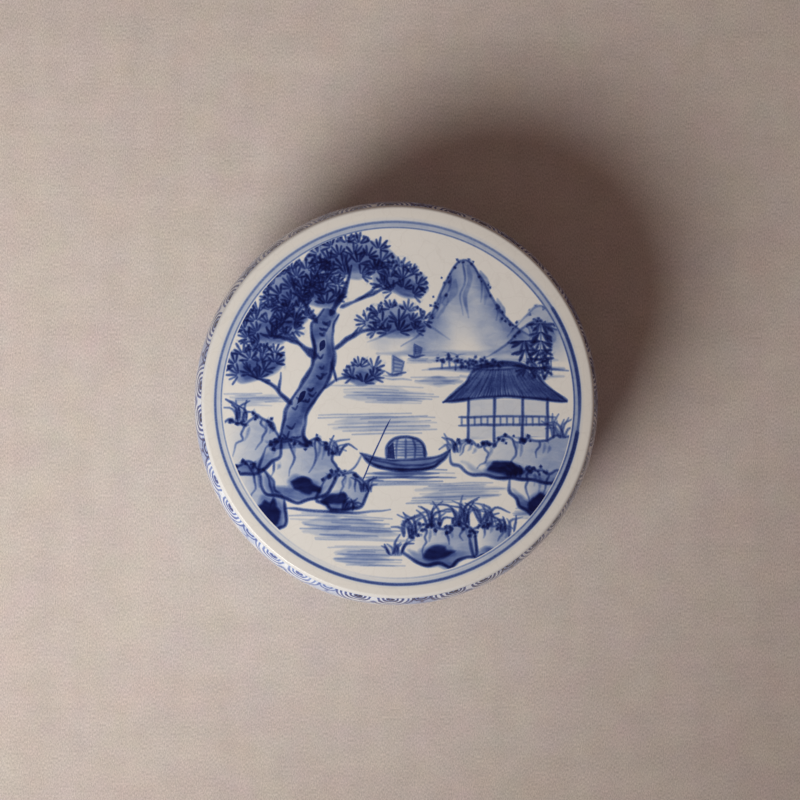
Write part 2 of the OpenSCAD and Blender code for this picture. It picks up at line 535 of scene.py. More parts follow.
def ripples(sheet, y, x_from, x_to, count, spread, ink, width=0.17, slope=0.0):
    """Fine strokes on the water, one below the other."""
    drift = (x_to - x_from) * rng.uniform(0.1, 0.3) * rng.choice((-1, 1))
    for k in np.linspace(1.6, -1.6, count):
        y0 = y + spread * k
        length = (x_to - x_from) * rng.uniform(0.35, 0.97)
        x0 = rng.uniform(x_from, x_to - length) + drift * k / 3.2
        y0 = y0 + rng.normal(0, 0.12) + slope * (x0 + length / 2 - (x_from + x_to) / 2)
        lift = slope * length / 2
        path = [(x0, y0 - lift), (x0 + length / 2, y0 + rng.normal(0, 0.1)), (x0 + length, y0 + lift)]
        sheet.line(path, width * rng.uniform(0.7, 1.3), ink * rng.uniform(0.5, 1.25), (0.2, 0.45), 1.4,
                   shake=0.03)


def band_of_water(sheet, y, x_from, x_to, deep, wash, lines, ink, slope):
    """A stretch of hatched water: long fine strokes over a pale wash."""
    for k in range(2):
        y0 = y + deep * (k - 0.5) * 0.4
        x0 = x_from + 0.12 * (x_to - x_from) * rng.uniform(0, 1)
        x1 = x_to - 0.25 * (x_to - x_from) * rng.uniform(0, 1)
        lift = slope * (x1 - x0) / 2
        path = [(x0, y0 - lift), ((x0 + x1) / 2, y0 + rng.normal(0, 0.1)), (x1, y0 + lift)]
        sheet.wash(path, deep * 0.55, 1.3 * wash * rng.uniform(0.6, 1.1), (0.3, 0.35), 0.5)
    ripples(sheet, y, x_from, x_to, lines, deep * 0.36, 0.88 * ink, slope=slope)


def craggy(points, size=0.35):
    """The same line with small broken bends in it."""
    p = np.asarray(points, float)
    out = []
    for a, b in zip(p[:-1], p[1:]):
        across = np.array([a[1] - b[1], b[0] - a[0]]) / max(np.hypot(*(b - a)), 1e-6)
        out += [a] + [a + (b - a) * t + across * rng.normal(0, size) for t in (0.34, 0.67)]
    return np.array(out + [p[-1]])


def rock(sheet, top, side, ink, wash, folds, dark=None):
    """A boulder. top is its lit upper contour from left to right, and side closes it underneath.
    dark is an oval patch of solid colour: x, y, half width, half height, tilt."""
    top, side = craggy(top), craggy(side, 0.2)
    loop = np.vstack([top, side])
    left, right = loop[:, 0].min(), loop[:, 0].max()
    sheet.fill(loop, wash, "wash", 0.4,
               lambda x, y: np.clip(1.1 * (x - left) / (right - left) - 0.15, 0.05, 0.75))
    inner = loop.mean(0) + 0.84 * (side - loop.mean(0))
    sheet.wash(inner, 2.2, (0.7 * wash, 1.7 * wash, 0.5 * wash), (0.2, 0.4), 0.7, 0.8, 0.1)
    sheet.line(top, ROCK_LINE, (0.7 * ink, ink, 0.85 * ink, 1.1 * ink), (0.06, 0.06), 0.4, shake=0.05)
    sheet.line(np.vstack([top[-1:], side, top[:1]]), ROCK_LINE * 1.4, (1.1 * ink, 1.25 * ink, 0.8 * ink),
               (0.05, 0.1), shake=0.06)
    for fold in folds:
        slant = np.asarray(fold) + np.outer(np.linspace(0, 1, len(fold)), (rng.uniform(-1.6, 0.4), 0))
        sheet.line(craggy(slant, 0.22), ROCK_LINE * 0.8, (ink, 0.85 * ink, 0.5 * ink), (0.08, 0.5),
                   shake=0.05)
        for k in range(rng.integers(1, 3)):
            start = slant[0] + (0.9 * (k + 1), -0.6 - 0.5 * k)
            tip = start + (slant[-1] - slant[0]) * rng.uniform(0.3, 0.55)
            sheet.line([start, (start + tip) / 2 + (0.15, 0), tip], ROCK_LINE * 1.5, 0.34 * ink, (0.2, 0.6),
                       edge=0.5)
    if dark:
        x, y, wide, high, tilt = dark
        sheet.fill(blob(x, y, 1.5 * wide, 1.6 * high, tilt, 0.08), 1.4, "wash", 0.7)
        sheet.fill(blob(x, y, 1.22 * wide, 1.3 * high, tilt, 0.12), 5.4, "wash", 0.6)


def peak(sheet, ridge, foot, wash, ink, folds=(), dots=0):
    """A far mountain: a wash that thins out towards its foot, a fine ridge line and some folds."""
    path = curve(ridge, 0.6)
    x_foot = np.linspace(path[-1, 0], path[0, 0], 16)
    low = np.stack([x_foot, foot + 0.35 * np.sin(0.9 * x_foot)], 1)
    px, py = path.T

    def shade(x, y):
        top = np.interp(x, px, py)
        depth = np.clip((top - y) / max(py.max() - foot, 1), 0, 1)
        ends = np.clip((x - px[0]) / 4, 0, 1) * np.clip((px[-1] - x) / 4, 0, 1)
        return (1 - depth) ** 1.3 * (0.82 + 0.18 * np.sin(0.9 * x + 0.5 * y)) * ends

    sheet.fill(np.vstack([path, low]), wash, "wash", 0.35, shade, smooth=False)
    sheet.line(ridge, 0.27, (0.6 * ink, ink, 1.25 * ink, ink, 0.6 * ink), (0.12, 0.2), 0.6, shake=0.07)
    for fold in folds:
        sheet.line(fold, 0.24, (0.9 * ink, 0.6 * ink, 0.3 * ink), (0.1, 0.6), 0.6, shake=0.05)
        sheet.wash(np.asarray(fold) + (0.85, -0.35), 1.35, 0.75 * wash, (0.2, 0.6), 0.35, 0.8)
    if dots:
        moss(sheet, ridge[1:-1], dots, 0.42, 0.25, 1.5 * ink)


def far_peaks(sheet):
    peak(sheet, [(-6, 11.4), (-1.5, 13.4), (3, 15.2), (6, 14.4), (10, 12)], 9.6, 0.75, 1.2)
    peak(sheet, [(21, 12.5), (24.5, 16.4), (27.4, 18.6), (30, 16.8), (34, 15.5)], 9.8, 0.9, 1.3, dots=8)
    folds = [
        [(12.4, 26.6), (12.9, 23.4), (11.9, 20.4), (12.6, 16.6)],
        [(10.2, 24.2), (9.8, 21.6), (8.4, 19)],
        [(8.2, 20.8), (7.8, 18.4), (6.6, 16.4)],
        [(15.0, 25.4), (16.2, 22.2), (15.9, 19.2)],
        [(18.2, 20.2), (19.2, 17.6), (18.8, 15.6)],
    ]
    ridge = [(0.5, 10.6), (4.2, 13.2), (7.0, 18.2), (9.4, 23.6), (11.6, 27), (14, 26.9), (16.4, 23.2),
             (19.4, 17.8), (23.6, 13.8), (28, 11.4)]
    peak(sheet, ridge, 9.4, 1.75, 2.4, folds, 44)
    folds = [[(25.2, 14.6), (25.6, 12.6), (24.8, 10.8)], [(28.2, 15.2), (29, 13), (28.4, 11.2)]]
    ridge = [(17, 8.6), (21, 11.2), (24.4, 14.4), (27.2, 15.6), (30.2, 14.2), (34, 13.6)]
    peak(sheet, ridge, 7.8, 1.4, 2.0, folds, 22)


def sail_boat(sheet, x, y, tall):
    sheet.line(moved(x, y, (0, 0), (0, tall)), 0.18, 2.4, (0, 0.2), 0.6, smooth=False)
    sail = moved(x, y, (0.18, 0.5), (0.18, tall), (0.62 * tall, tall * 0.66), (0.5 * tall, 0.5))
    sheet.fill(sail, 1.0, "wash", 0.15, smooth=False)
    sheet.line(sail + sail[:1], 0.2, 2.3, (0, 0), 0.6, shake=0.02, smooth=False)
    for k in (0.3, 0.55, 0.8):
        ends = [(x + 0.15, y + 0.5 + k * (tall - 0.6)), (x + 0.5 * tall, y + 0.5 + k * (tall - 1.2))]
        sheet.line(ends, 0.14, 1.8, (0, 0), 0.6, shake=0, smooth=False)
    hull = [(x - 1.1, y + 0.34), (x, y - 0.1), (x + 0.52 * tall + 0.7, y + 0.36)]
    sheet.line(hull, 0.44, 3.4, (0.3, 0.3), 0.4)
    ripples(sheet, y - 0.8, x - 2.2, x + 3.4, 3, 0.25, 1.1)


def far_shore(sheet):
    """A low spit with small trees, and level washes of mist and water under the peaks."""
    for x0, x1, y, wide, ink in (
            (-4, 27, 9.2, 1.2, 0.7), (2, 31, 7.9, 1.0, 0.8), (6, 32, 6.3, 1.4, 1.15),
            (12, 32, 4.8, 1.0, 0.9)):
        sheet.wash([(x0, y), ((x0 + x1) / 2, y + rng.normal(0, 0.15)), (x1, y + 0.1)], wide, ink, (0.35, 0.3))
    spit = [(4.6, 6.0), (11, 6.5), (19, 6.1), (26, 6.5), (33, 6.0)]
    sheet.line(spit, 0.3, (0.8, 2.4, 2.8, 2.2), (0.25, 0.1), 0.8)
    for x in np.linspace(8.5, 19.5, 10):
        px, py = x + rng.normal(0, 0.2), 6.6 + rng.normal(0, 0.15)
        h = rng.uniform(1.2, 2.3)
        sheet.line([(px, py - 0.3), (px + 0.1, py - 0.3 + h)], 0.24, 2.6, (0, 0.4), 0.6)
        for _ in range(6):
            sheet.dot(px + rng.normal(0, 0.42), py + h * 0.62 + rng.normal(0, 0.42), 0.3, 3.2)
    sail_boat(sheet, -1.2, 5.2, 3.6)
    sail_boat(sheet, 3.0, 8.6, 2.4)


def bank(sheet):
    """The near bank at the left, piled with boulders, that the tree grows from."""
    boulders = (
        ([(-35, -5.0), (-32.4, -3.4), (-29.6, -4.4), (-27.4, -2.6), (-24.2, -4.2), (-22.6, -7.4)],
         [(-22.8, -10.6), (-27, -13.8), (-35, -14)], 3.0, 1.1,
         [[(-29.6, -4.4), (-29.4, -7.4), (-30.8, -10.6)], [(-26.2, -3.2), (-25.4, -6.6), (-26.2, -9.4)]]),
        ([(-25.6, -9.0), (-22.2, -7.4), (-18.4, -8.4), (-15.8, -7.2), (-12.6, -9.8), (-11.6, -13.4)],
         [(-13.4, -17.4), (-19.4, -19.6), (-25.4, -17.8), (-27, -13)], 3.1, 1.3,
         [[(-21.2, -7.6), (-20.2, -10.8), (-21.4, -14.4)], [(-16.0, -7.4), (-15.4, -10.6), (-16.4, -13.8)],
          [(-24.0, -11.6), (-23.4, -14.6)]], (-18.2, -16.4, 2.3, 1.2, -0.35)),
        ([(-33, -13.6), (-29.2, -11.6), (-26.2, -13.2), (-24.0, -15.6), (-22.0, -18.8)],
         [(-21.6, -23.4), (-25, -27), (-30, -24)], 3.2, 1.6,
         [[(-29.0, -12), (-27.8, -15.4), (-28.6, -19.4)], [(-25.6, -13.8), (-24.4, -17.4), (-25, -20.4)]],
         (-24.8, -21.6, 1.7, 2.2, 0.2)),
        ([(-14.6, -15.8), (-11.4, -13.4), (-8.0, -14.4), (-5.8, -17.4)],
         [(-7.2, -20.2), (-12.8, -20.8), (-15.8, -18.8)], 3.1, 1.3,
         [[(-11.2, -13.7), (-10.4, -16.4), (-11.2, -18.8)], [(-8.2, -14.8), (-7.8, -17.4)]],
         (-12.2, -18.8, 1.9, 0.9, 0.1)),
    )
    for boulder in boulders:
        rock(sheet, *boulder)
    sheet.line([(-21.6, -20.6), (-15, -21.2), (-9, -21.5), (-1.6, -20.9)], 0.42, (2.8, 3.4, 2.2), (0.1, 0.4))
    for ledge, count, spread, r in (
            ([(-33, -3.6), (-29.6, -4.2), (-27.4, -2.8), (-24.2, -4.4)], 22, 0.45, 0.38),
            ([(-25, -8.8), (-22.2, -7.4), (-18.4, -8.4), (-15.8, -7.3), (-12.8, -9.8)], 30, 0.5, 0.38),
            ([(-32, -13), (-29.2, -11.9), (-26.4, -13.3)], 16, 0.4, 0.36),
            ([(-14.2, -15.3), (-11.4, -13.6), (-8.2, -14.6)], 16, 0.4, 0.36)):
        moss(sheet, ledge, count, spread, r)
    for x, y, n, h in (
            (-30.6, -3.8, 12, 4.4), (-12.2, -10.4, 11, 3.8), (-6.4, -17.4, 11, 3.2), (-9.6, -20.9, 9, 2.6)):
        grass(sheet, x, y, n, 2.6, h, 0.1)


def bark(sheet, left, right):
    """Short rough strokes across the trunk, between its two sides."""
    share = np.linspace(0, 1, len(left))
    for k in np.sort(rng.uniform(0.03, 0.95, 22)):
        a, b = (np.array([np.interp(k, share, row) for row in zip(*side)]) for side in (left, right))
        p = a + (b - a) * rng.uniform(0.05, 0.62)
        q = p + (b - a) * rng.uniform(0.2, 0.4)
        drop = rng.uniform(0.3, 1.3)
        path = [p, (p + q) / 2 + (0.1, -0.5 * drop), q + (0, 0.4 * drop)]
        sheet.line(path, 0.3, rng.uniform(2.4, 3.6), (0.2, 0.5), 0.3)


def branch(sheet, path, wide):
    """A branch with two twigs at each of its bends."""
    sheet.line(path, wide, (3.6, 3.0, 3.8), (0.02, 0.75), shake=0.09)
    path = np.asarray(path)
    for a, b in zip(path, path[1:]):
        for _ in range(2):
            tip = b + (rng.uniform(-2.6, 2.6), rng.uniform(0.6, 3.0))
            sheet.line([a * 0.35 + b * 0.65, tip], 0.34, 3.2, (0.05, 0.6))


def broad_tree(sheet):
    """A leaning trunk with rough bark, and clumps of leaves over pale washes."""
    left = [(-24.4, -9.4), (-22.8, -6.6), (-22.0, -3.0), (-20.4, 0.8), (-17.6, 4.8), (-16.2, 9.2),
            (-16.8, 13.6), (-14.6, 17.8)]
    right = [(-16.6, -8.6), (-18.4, -6.4), (-17.8, -2.8), (-16.2, 0.4), (-13.6, 4.2), (-12.4, 8.6),
             (-13.0, 12.8), (-11.6, 16.6)]
    sheet.fill(left + right[::-1], 2.1, "wash", 0.4,
               lambda x, y: np.clip(0.85 + 0.3 * np.sin(1.3 * x - 0.7 * y), 0.5, 1.2), step=0.7)
    sheet.line(left, 0.62, (3.6, 2.9, 3.8, 3.1), (0.05, 0.3), shake=0.14)
    sheet.line(right, 0.54, (3.4, 3.3, 2.7, 3.3), (0.05, 0.3), shake=0.14)
    sheet.wash(np.array(right[:-1]) + (-0.75, 0.2), 1.5, (1.6, 2.2, 1.4), (0.05, 0.3), 0.5, 0.8, 0.2)
    bark(sheet, left, right)
    sheet.fill([(-19.6, -0.6), (-18.4, 0.4), (-17.9, 1.9), (-18.9, 1.6)], 3.8, "line", 0.15)
    sheet.fill([(-15.2, 9.6), (-14.2, 10.4), (-14.3, 11.8), (-15.2, 11.2)], 3.8, "line", 0.15)
    for path, wide in (
            ([(-20.6, -0.6), (-24.4, 3.0), (-28.8, 5.0)], 0.9),
            ([(-15.9, 8.6), (-20.2, 11.6), (-25.8, 12.8)], 1.0),
            ([(-15.7, 15.2), (-18.6, 19.4), (-20.8, 22.8)], 0.95),
            ([(-13.0, 16.8), (-10.6, 21.2), (-9.0, 26.0)], 1.0),
            ([(-12.4, 10.2), (-7.4, 13.4), (-1.8, 14.2)], 0.85),
            ([(-11.4, 18.0), (-5.4, 20.6), (-0.8, 22.4)], 0.7),
            ([(-14.6, 2.6), (-10.6, 4.6), (-7.6, 4.2)], 0.5)):
        branch(sheet, path, wide)
    for clump in (
            (-27.6, 7.0, 4.6, 2.9, 0.2), (-25.2, 14.4, 6.0, 3.1, 0.25), (-19.2, 22.4, 6.4, 3.3, 0.5),
            (-9.2, 27.4, 7.2, 3.3, 0.0), (0.2, 23.2, 5.0, 2.5, -0.35), (-0.6, 15.3, 5.6, 2.5, -0.05),
            (-14.2, 20.6, 3.6, 2.2, 0.1), (-20.4, 16.2, 2.8, 1.8, 0.2), (-7.0, 5.0, 3.0, 1.7, 0.0)):
        leafy(sheet, *clump)


def thatch(sheet):
    """The shed's roof: an outline, straw that runs down it, and a tied ridge."""
    eave = [(8.6, -0.2), (20.6, 0.9), (32.6, 0.0)]
    top = [(8.6, -0.2), (12.6, 3.2), (15.6, 6.4), (24.6, 6.6), (28.4, 3.2), (32.6, 0.0)]
    sheet.fill(top + eave[1:2], 1.8, "wash", 0.25, lambda x, y: np.clip(1.15 - 0.13 * y, 0.3, 1.2))
    sheet.line(top, 0.5, 3.4, (0.06, 0.06), 0.6, shake=0.07)
    sheet.line(eave, 0.5, (3.6, 3.0, 3.6), (0.06, 0.06), 0.6, shake=0.07)
    for k in np.linspace(0.02, 0.98, 38):
        head = (15.4 + 9.4 * k, 6.1)
        foot = (9.6 + 22.0 * k, 0.25 + 0.7 * math.sin(math.pi * k))
        bend = ((head[0] * 0.62 + foot[0] * 0.38) + (k - 0.5) * 1.5, 3.0)
        sheet.line([head, bend, foot], 0.22, rng.uniform(1.9, 3.4), (0.15, 0.3), 0.7)
    sheet.line([(14.8, 6.7), (20, 7.4), (25.2, 6.8)], 0.85, 3.8, (0.15, 0.15))
    for x in (15.0, 20.0, 25.0):
        sheet.dot(x, 7.5, 0.42, 3.8)


def shed(sheet):
    """An open thatched shed on posts at the water's edge, at the right."""
    rock(sheet, [(9.8, -9.4), (12.8, -7.6), (17, -8.2), (21.4, -6.8), (26.2, -7.6), (30.4, -6.6), (35, -7.6)],
         [(35, -15), (28.4, -15.8), (21.6, -14.8), (14.4, -14.2), (10.2, -12)], 3.1, 1.3,
         [[(17.2, -8.2), (17.6, -10.8), (16.4, -13)], [(22.0, -7.2), (23.2, -10.4), (22.4, -13.6)],
          [(27.4, -7.6), (28.2, -10.8)], [(13.0, -8), (13.0, -10.4)]], (20.6, -13.0, 2.9, 1.0, -0.1))
    rock(sheet, [(21.6, -14.4), (25.2, -12.8), (29.0, -14.0), (34, -13)],
         [(33, -22), (27.6, -23.4), (23.4, -20.2), (21.4, -17.2)], 3.2, 1.7,
         [[(25.4, -13.2), (24.8, -16.4), (25.8, -19.6)], [(29.2, -14.2), (28.8, -17.8)]],
         (27.6, -20.2, 1.9, 1.7, 0.3))
    for x in (13.4, 18.4, 24.0, 28.8):
        sheet.line([(x, -7.6), (x + 0.1, 0.6)], 0.42, 3.4, (0, 0), 0.8)
    sheet.fill([(13.4, -7.4), (28.8, -7.0), (28.8, 0.4), (13.4, 0.4)], 0.3, "wash", 0.4, smooth=False)
    for y, wide in ((-4.6, 0.34), (-3.0, 0.26)):
        sheet.line([(11.6, y - 0.1), (21, y + 0.1), (30.4, y)], wide, 3.0, (0.04, 0.04), 0.8)
    for x in np.arange(12.2, 30, 1.25):
        sheet.line([(x, -4.6), (x, -3.0)], 0.2, 2.5, (0, 0), 0.6, smooth=False)
    thatch(sheet)
    moss(sheet, [(10, -9.2), (12.8, -7.8), (17, -8.3), (21.4, -7), (26.2, -7.7)], 34, 0.45, 0.38)
    moss(sheet, [(22, -14.2), (25.2, -13), (29, -14.1)], 16, 0.4, 0.36)
    for x, y, n, h in ((10.6, -9.8, 11, 3.4), (31.0, -7.0, 11, 4.4), (22.4, -14.6, 10, 2.8)):
        grass(sheet, x, y, n, 2.6, h, -0.08)


def bamboo(sheet):
    """A clump of canes behind the shed, with leaves in threes."""
    for x, lean, tall in ((27.2, 0.08, 10.4), (29.6, -0.02, 8.4), (25.2, -0.10, 7.2)):
        y = 5.0
        for k in range(int(tall / 1.7)):
            joint = x + lean * 1.7 - 0.03 * k, y + 1.55
            sheet.line([(x, y), joint], 0.4 - 0.012 * k, 3.0, (0.06, 0.06), 0.6, shake=0.02, smooth=False)
            for side in (-1, 1):
                if rng.uniform() < 0.8:
                    cane_leaves(sheet, *joint, side)
            x, y = joint[0], joint[1] + 0.15


def cane_leaves(sheet, x, y, side):
    for k in range(3):
        angle = math.radians(-90 + side * (26 + 27 * k) + rng.normal(0, 9))
        sheet.dab(x + side * 0.2, y, angle, rng.uniform(1.8, 2.7), 0.55, rng.uniform(2.9, 3.9))


def boat(sheet):
    """A moored boat with an arched mat cover, nobody aboard, and its pole."""
    x, y = 1.2, -12.0
    hull = moved(x, y, (-8.6, 2.0), (-6.2, -0.2), (-1.8, -1.2), (4.2, -1.1), (7.2, 0.5), (8.8, 2.6))
    deck = moved(x, y, (8.8, 2.6), (6.2, 1.3), (0.4, 0.7), (-5.0, 0.95), (-8.6, 2.0))
    sheet.fill(hull + deck[1:-1], 2.5, "wash", 0.25,
               lambda px, py: np.clip(1.0 - 0.22 * (py - y + 1.0), 0.4, 1))
    sheet.line(hull, 0.56, (3.0, 3.9, 3.9, 3.2), (0.1, 0.1))
    sheet.line(deck, 0.36, (3.2, 2.8, 3.2), (0.08, 0.08))
    sheet.line(moved(x, y, (-7.4, 1.0), (-1, -0.25), (4.8, -0.1), (7.8, 1.6)), 0.24, 2.6, (0.12, 0.12), 0.6)
    cover = moved(x, y, (-3.5, 0.9), (-3.4, 3.3), (-1.6, 4.9), (1.6, 5.0), (3.5, 3.6), (3.9, 1.1))
    sheet.fill(cover, 1.2, "wash", 0.25, lambda px, py: np.clip(0.5 + 0.2 * (px - x), 0.25, 1.1))
    sheet.line(cover, 0.46, (3.2, 3.6, 3.2), (0.04, 0.04), 0.4)
    for k in (-1.7, 0.1, 1.9):
        rib = [(x + k, y + 0.85), (x + k + 0.1, y + 3.2), (x + k * 0.8, y + 4.8)]
        sheet.line(rib, 0.26, 2.6, (0.05, 0.1))
    for k in range(6):
        ends = [(x - 3.3 + 0.1 * k, y + 1.5 + 0.55 * k), (x + 3.6 - 0.12 * k, y + 1.6 + 0.52 * k)]
        sheet.line(ends, 0.16, 2.1, (0.05, 0.05), 0.8)
    mouth = moved(x, y, (-3.4, 1.0), (-3.3, 3.1), (-2.2, 4.1), (-1.9, 0.85))
    sheet.fill(mouth, 3.7, "line", 0.15, smooth=False)
    sheet.line(moved(x, y, (-8.2, -3.4), (-5.6, 2.6), (-2.8, 8.6)), 0.27, 3.0, (0.02, 0.1), 0.8, 0.1, 0.03)
    sheet.line(moved(x, y, (-8.2, 2.0), (-9.6, -0.6), (-11.6, -2.0)), 0.22, 2.6, (0.05, 0.05), 0.6)
    for dy, ink in ((-1.9, 1.5), (-2.7, 1.0)):
        shadow = [(x - 5.6 + dy, y + dy), (x + 1, y + dy - 0.1), (x + 6.6, y + dy)]
        sheet.wash(shadow, 0.9, ink, (0.3, 0.4), 0.3)
    ripples(sheet, y - 2.7, x - 8, x + 10, 8, 0.9, 1.7, 0.19)


def water(sheet):
    """Hatched water, closest at the near shore."""
    for y, x0, x1, deep, wash, lines, ink, slope in (
            (1.2, -11, 9, 2.6, 0.4, 7, 1.15, -0.02), (-4.4, -14, 9, 3.4, 0.45, 9, 1.2, 0.02),
            (3.8, 3, 13, 1.4, 0.6, 4, 1.1, 0.0), (-17.6, 3, 21, 3.0, 0.5, 9, 1.4, 0.03),
            (-24.4, -20, 1, 4.2, 0.6, 13, 1.5, -0.03), (-29.8, -13, 1, 3.2, 0.65, 11, 1.6, -0.02),
            (-21.6, 22, 29, 1.4, 0.6, 5, 1.4, 0.0), (0.4, -33, -22, 2.0, 0.4, 6, 1.2, 0.02)):
        band_of_water(sheet, y, x0, x1, deep, wash, lines, ink, slope)


def near_reeds(sheet):
    """Reeds and stones at the near edge, below the boat."""
    rock(sheet, [(1.6, -26.8), (4.8, -23.8), (9.0, -24.6), (11.6, -23.2), (14.8, -25.6)],
         [(15.0, -29.6), (10, -32), (3.6, -31), (0.8, -29)], 3.2, 1.4,
         [[(5.2, -24.2), (5.4, -27.2), (4.6, -29.6)], [(9.2, -24.8), (9.8, -27.6)],
          [(12, -23.8), (12.6, -26.8)]],
         (7.6, -29.2, 2.4, 1.1, 0.1))
    rock(sheet, [(13.6, -26.0), (16.8, -23.4), (20.4, -24.2), (22.4, -26.6)],
         [(20, -30), (14.6, -30)], 3.1, 1.5, [[(17, -23.8), (17.4, -26.4)], [(20.2, -24.6), (20.2, -27)]])
    for x, y, n, h in (
            (2.2, -26.0, 12, 4.6), (7.0, -24.4, 13, 5.2), (12.2, -23.8, 14, 5.4), (17.0, -23.6, 12, 4.6),
            (-0.8, -29.6, 11, 3.6), (21.2, -25.2, 10, 3.6)):
        grass(sheet, x, y, n, 3.0, h, 0.05, 3.2, 0.4)
    moss(sheet, [(2, -26.4), (4.8, -24), (9, -24.7), (11.6, -23.4), (14.6, -25.6)], 32, 0.5, 0.4)
    moss(sheet, [(14.2, -25.6), (16.8, -23.6), (20.4, -24.4)], 18, 0.45, 0.38)


def wander(theta, size, seed):
    """A smooth wandering value of the angle."""
    out = 0.0
    for k in (1, 2, 3, 5, 9):
        out = out + size / k * np.sin(k * theta + seed * k * 1.7)
    return out


def around(theta, centre, reach):
    """1 at an angle in degrees, falling off smoothly over reach, in radians."""
    gap = (theta - math.radians(centre) + math.pi) % TURN - math.pi
    return np.exp(-(gap / reach) ** 2)


def lap(theta, start, end):
    """A second pass of the brush between two angles, in degrees, that starts soft and ends blunt."""
    turned_by = np.degrees(theta - math.radians(start)) % 360
    return np.clip(turned_by / 12, 0, 1) * np.clip((end - start - turned_by) / 0.9, 0, 1)


def band_lines(sheet):
    """The two rings round the picture: a bold outer line over a pale halo, a hair line inside it, and
    wash between them. Angles are in degrees."""
    heavy, faint, thinned = -28, 250, 66

    def outer(t):
        slips = 0.11 * around(t, 190, 0.9) - 0.45 * around(t, thinned, 0.6)
        return RING_R - 0.08 * np.cos(t) - 0.12 * np.sin(t) + slips + wander(t, 0.04, 1)

    def outer_half(t):
        plain = 0.20 + 0.05 * around(t, heavy, 1.0) + 0.07 * around(t, faint, 0.8) + wander(t, 0.015, 3)
        return plain + 0.13 * lap(t, -52, -9) + 0.11 * lap(t, -7, 32)

    def outer_ink(t):
        loaded = 1.75 + 0.5 * around(t, heavy, 0.9) + 0.75 * around(t, faint, 0.9)
        plain = loaded - 0.3 * around(t, thinned, 0.6) + wander(t, 0.18, 2)
        return plain + 1.5 * lap(t, -52, -9) + 1.2 * lap(t, -7, 32)

    def inner_ink(t):
        return 1.9 - 1.85 * around(t, faint, 1.0) + 0.5 * around(t, heavy, 0.9) + wander(t, 0.15, 6)

    def between_ink(t):
        return 0.66 - 0.66 * around(t, faint, 1.0) + 0.2 * around(t, heavy, 0.9) + wander(t, 0.10, 9)

    sheet.ring(outer, outer_half, outer_ink, 0.30)
    sheet.ring(outer, lambda t: 0.68 + wander(t, 0.02, 11), lambda t: 0.17 + wander(t, 0.04, 12), 0.7, "wash")
    sheet.ring(lambda t: outer(t) - 1.12 + wander(t, 0.06, 4), lambda t: 0.13 + wander(t, 0.012, 5),
               inner_ink, 0.26)
    sheet.ring(lambda t: outer(t) - 0.56 + wander(t, 0.04, 7), lambda t: 0.42 + wander(t, 0.02, 8),
               between_ink, 0.4, "wash")


def paint_picture():
    sheet = Sheet(PICTURE_R)
    for part in (far_peaks, far_shore, water, broad_tree, bank, bamboo, shed, boat, near_reeds, band_lines):
        part(sheet)
    return sheet


# The traditional border round the walls

LOBE_OUT = 3.2  # how far each lobe hangs from the middle of its pair, in millimetres
PAIR_OUT = 4.45  # how far the pair's side stands out beyond that


def border(high):
    """Hanging cloud lobes in pairs, with a gap between each two pairs. x runs round the wall, and
    y hangs down from the border's edge at 0."""
    sheet = Sheet()
    pitch = WALL_LONG / UNITS
    for unit in range(-1, UNITS + 1):
        keep = rng.bit_generator.state
        rng.bit_generator.state = np.random.default_rng(100 + unit % UNITS).bit_generator.state
        border_unit(sheet, (unit + 0.5) * pitch, pitch, high)
        rng.bit_generator.state = keep
    return sheet


def hanging(x, side, size, *points):
    """Points to one side of x. The heights of those below the border's edge take the size."""
    return [(x + side * u, v * size if v < 0 else v) for u, v in points]


def hung(sheet, x, half, deep, ink, width):
    """A U that hangs from the border's edge, with its thickest and darkest paint at the bottom."""
    a = np.linspace(0, math.pi, 15)
    across = -half * np.sign(np.cos(a)) * np.abs(np.cos(a)) ** 0.8
    path = np.stack([x + across, 0.6 - (deep + 0.6) * np.sin(a) ** 0.85], 1)
    widths = width * np.array([1, 1, 1.9, 2.1, 1.9, 1, 1])
    inks = ink * np.array([0.85, 0.9, 1, 1.05, 1, 0.9, 0.85])
    sheet.line(path, widths, inks, (0, 0), edge=0.24, shake=0.05)


def cloud_lobe(sheet, x, side, size):
    """One lobe: a dark hooked core over a wash, in two nested bowls."""
    core = hanging(x, side, size, (0, 0.5), (0, -1.2), (0.1, -2.4))
    sheet.wash(core, 1.5, rng.uniform(0.5, 0.9), (0, 0.25), 0.3, 0.6)
    hook = hanging(x, side, size, (-0.55, 0.5), (-0.5, -0.8), (-0.08, -1.45), (0.45, -0.95), (0.4, -0.3),
                   (0.05, -0.2))
    sheet.line(hook, (0.55, 0.75, 1.05, 0.9, 0.5), (4.0, 4.8, 5.0, 4.4), (0, 0.3), 0.35, 0.24, 0.05)
    hung(sheet, x, 1.55, 2.9 * size, 3.9, 0.4)
    hung(sheet, x + 0.04 * side, 2.45, 4.75 * size, 3.4, 0.42)


